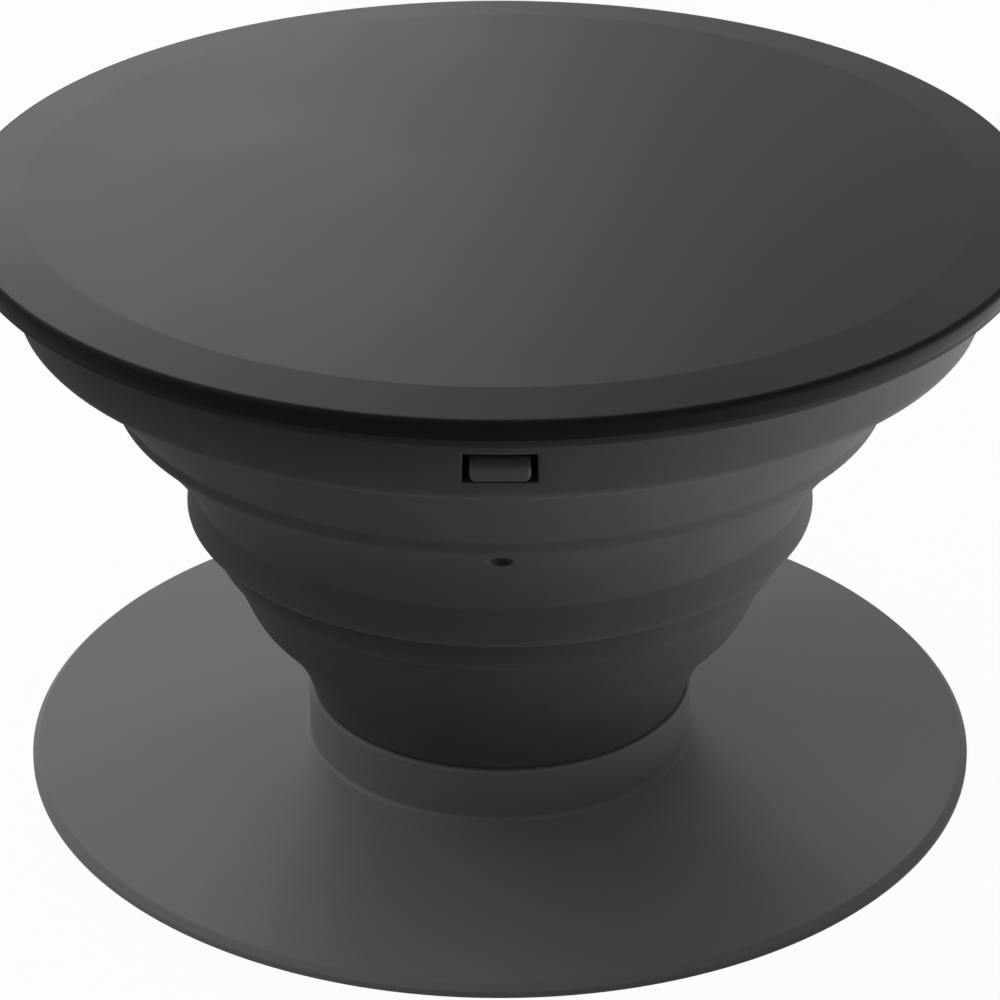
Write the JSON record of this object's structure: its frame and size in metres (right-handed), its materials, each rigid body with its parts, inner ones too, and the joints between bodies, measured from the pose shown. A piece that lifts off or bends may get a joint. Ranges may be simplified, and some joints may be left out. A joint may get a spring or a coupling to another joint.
{
  "type": "collapsible phone grip",
  "caption": "Round phone grip: a flat disc on a stepped soft bellows that folds down onto a thin adhesive-backed base plate.",
  "frame": {"origin": "centre of the adhesive pad's underside, where the grip sits on the phone", "axes": "+Z along the grip's axis, from the phone towards the disc; -Y is the front, where the vent is"},
  "size_m": [0.04, 0.04, 0.0247],
  "materials": {
    "adhesive_gel": "smooth tacky gel",
    "base_plastic": "fine matte moulded",
    "bellows_elastomer": "soft-touch matte",
    "disc_plastic": "satin moulded"
  },
  "bodies": {
    "base": {"adhesive_pad": "adhesive_gel", "base_plate": "base_plastic", "foot_plug": "base_plastic", "bellows": "bellows_elastomer"},
    "top": {"top_disc": "disc_plastic"}
  },
  "joints": [
    {"name": "collapse", "type": "slide", "parent": "base", "child": "top", "axis": [0, 0, 1], "range_m": [-0.017, 0], "deforming": ["bellows"]}
  ]
}
